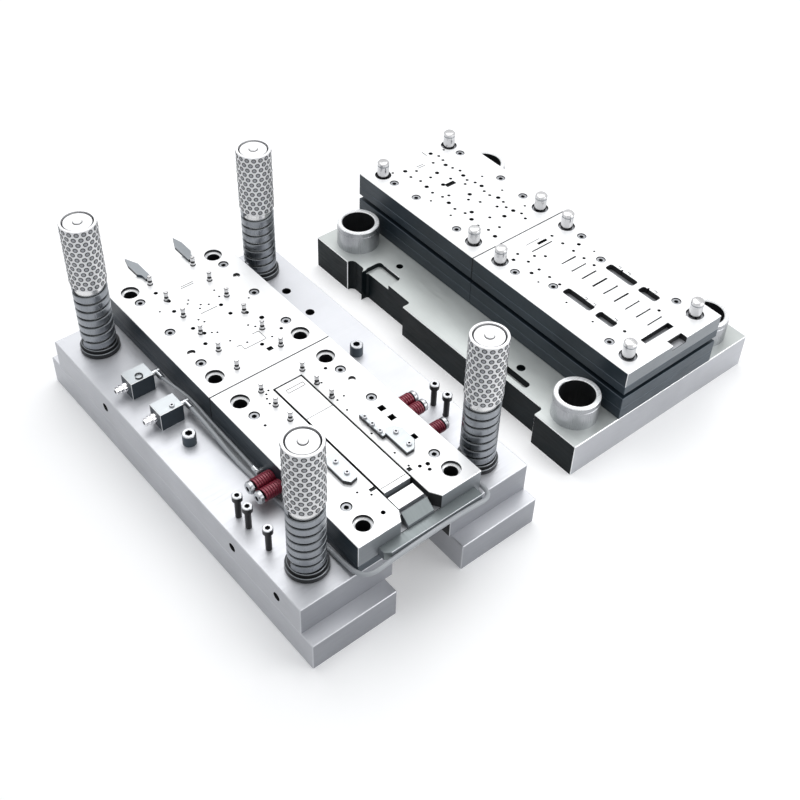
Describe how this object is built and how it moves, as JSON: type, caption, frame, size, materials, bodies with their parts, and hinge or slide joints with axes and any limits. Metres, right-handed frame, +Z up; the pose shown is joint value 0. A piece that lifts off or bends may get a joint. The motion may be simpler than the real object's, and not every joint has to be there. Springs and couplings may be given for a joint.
{
  "type": "progressive stamping die set",
  "caption": "Two-half progressive stamping die set, open: lower half with guide posts and ball cages on risers, upper half upside down beside it with its stripper plates up.",
  "frame": {"origin": "on the floor, at the centre of the outline of both halves", "axes": "+X across from the lower half to the upper half, +Y along the strip towards the end where it enters, +Z up"},
  "size_m": [0.798, 0.62, 0.302],
  "materials": {
    "riser_steel": "ground",
    "shoe_steel": "ground",
    "upper_shoe_steel": "dark oxide with a ground face",
    "ground_steel": "ground and polished",
    "bar_steel": "ground",
    "black_steel": "black oxide",
    "cage_metal": "satin",
    "spring_steel": "spring wire",
    "die_steel": "ground",
    "backing_steel": "dark ground",
    "screw_steel": "black oxide",
    "float_steel": "ground",
    "lifter_steel": "polished",
    "cam_steel": "ground",
    "red_spring": "lacquered",
    "manifold_metal": "satin",
    "plug_chrome": "plated",
    "fitting_plastic": "moulded",
    "hose_plastic": "extruded"
  },
  "bodies": {
    "lower_half": {"riser_left": "riser_steel", "riser_right": "riser_steel", "lower_shoe": "shoe_steel", "guide_posts": "ground_steel", "post_collars": "black_steel", "cage_spring_front_left": "spring_steel", "cage_spring_front_right": "spring_steel", "cage_spring_rear_left": "spring_steel", "cage_spring_rear_right": "spring_steel", "die_plate_front": "die_steel", "die_plate_rear": "die_steel", "die_backing_plates": "backing_steel", "sub_guide_bushes": "ground_steel", "die_screws": "screw_steel", "die_dowels": "ground_steel", "float_pins": "ground_steel", "float_springs_front": "spring_steel", "float_springs_rear": "spring_steel", "lead_in_guides": "black_steel", "stock_guides": "float_steel", "exit_insert": "float_steel", "exit_chute": "bar_steel", "cam_springs_left": "red_spring", "cam_springs_right": "red_spring", "stop_posts": "ground_steel", "standing_screws": "screw_steel", "air_bar": "bar_steel", "manifold_blocks": "manifold_metal", "quick_plugs": "plug_chrome", "tube_fittings": "fitting_plastic", "air_hose": "hose_plastic", "air_tube": "hose_plastic"},
    "cage_front_left": {"ball_cage_front_left": "cage_metal"},
    "cage_front_right": {"ball_cage_front_right": "cage_metal"},
    "cage_rear_left": {"ball_cage_rear_left": "cage_metal"},
    "cage_rear_right": {"ball_cage_rear_right": "cage_metal"},
    "lifters_rear": {"lifters_rear": "lifter_steel"},
    "lifters_front": {"lifters_front": "lifter_steel"},
    "float_front": {"float_plate_front": "float_steel"},
    "float_rear": {"float_plate_rear": "float_steel"},
    "cams_left": {"cam_rods_left": "cam_steel"},
    "cams_right": {"cam_rods_right": "cam_steel"},
    "upper_half": {"upper_shoe": "upper_shoe_steel", "guide_bushes": "ground_steel", "punch_backing_plates": "backing_steel", "punch_plate_front": "backing_steel", "punch_plate_rear": "backing_steel", "sub_guide_pins": "ground_steel", "slitting_punches": "lifter_steel", "stripper_springs_front": "spring_steel", "stripper_springs_rear": "spring_steel"},
    "stripper_front": {"stripper_plate_front": "die_steel", "stripper_backing_front": "backing_steel", "stripper_bolts_front": "screw_steel"},
    "stripper_rear": {"stripper_plate_rear": "die_steel", "stripper_backing_rear": "backing_steel", "stripper_bolts_rear": "screw_steel"}
  },
  "joints": [
    {"name": "cage_front_left_slide", "type": "slide", "parent": "lower_half", "child": "cage_front_left", "axis": [0, 0, -1], "range_m": [0, 0.02], "stiffness_N_per_m": 800, "springref_m": -0.01, "deforming": ["cage_spring_front_left"]},
    {"name": "cage_front_right_slide", "type": "slide", "parent": "lower_half", "child": "cage_front_right", "axis": [0, 0, -1], "range_m": [0, 0.02], "stiffness_N_per_m": 800, "springref_m": -0.01, "deforming": ["cage_spring_front_right"]},
    {"name": "cage_rear_left_slide", "type": "slide", "parent": "lower_half", "child": "cage_rear_left", "axis": [0, 0, -1], "range_m": [0, 0.02], "stiffness_N_per_m": 800, "springref_m": -0.01, "deforming": ["cage_spring_rear_left"]},
    {"name": "cage_rear_right_slide", "type": "slide", "parent": "lower_half", "child": "cage_rear_right", "axis": [0, 0, -1], "range_m": [0, 0.02], "stiffness_N_per_m": 800, "springref_m": -0.01, "deforming": ["cage_spring_rear_right"]},
    {"name": "lifters_rear_slide", "type": "slide", "parent": "lower_half", "child": "lifters_rear", "axis": [0, 0, -1], "range_m": [0, 0.008], "stiffness_N_per_m": 2000, "springref_m": -0.006},
    {"name": "lifters_front_slide", "type": "slide", "parent": "lower_half", "child": "lifters_front", "axis": [0, 0, -1], "range_m": [0, 0.008], "stiffness_N_per_m": 2000, "springref_m": -0.006},
    {"name": "float_front_slide", "type": "slide", "parent": "lower_half", "child": "float_front", "axis": [0, 0, -1], "range_m": [0, 0.003], "stiffness_N_per_m": 8000, "springref_m": -0.004, "deforming": ["float_springs_front"]},
    {"name": "float_rear_slide", "type": "slide", "parent": "lower_half", "child": "float_rear", "axis": [0, 0, -1], "range_m": [0, 0.003], "stiffness_N_per_m": 8000, "springref_m": -0.004, "deforming": ["float_springs_rear"]},
    {"name": "cams_left_slide", "type": "slide", "parent": "lower_half", "child": "cams_left", "axis": [1, 0, 0], "range_m": [0, 0.005], "stiffness_N_per_m": 2000, "springref_m": -0.005, "deforming": ["cam_springs_left"]},
    {"name": "cams_right_slide", "type": "slide", "parent": "lower_half", "child": "cams_right", "axis": [-1, 0, 0], "range_m": [0, 0.005], "stiffness_N_per_m": 2000, "springref_m": -0.005, "deforming": ["cam_springs_right"]},
    {"name": "upper_half_lift", "type": "slide", "parent": "lower_half", "child": "upper_half", "axis": [0, 0, 1], "range_m": [0, 0.3]},
    {"name": "stripper_front_slide", "type": "slide", "parent": "upper_half", "child": "stripper_front", "axis": [0, 0, -1], "range_m": [0, 0.007], "stiffness_N_per_m": 30000, "springref_m": -0.015, "deforming": ["stripper_springs_front"]},
    {"name": "stripper_rear_slide", "type": "slide", "parent": "upper_half", "child": "stripper_rear", "axis": [0, 0, -1], "range_m": [0, 0.007], "stiffness_N_per_m": 30000, "springref_m": -0.015, "deforming": ["stripper_springs_rear"]}
  ]
}
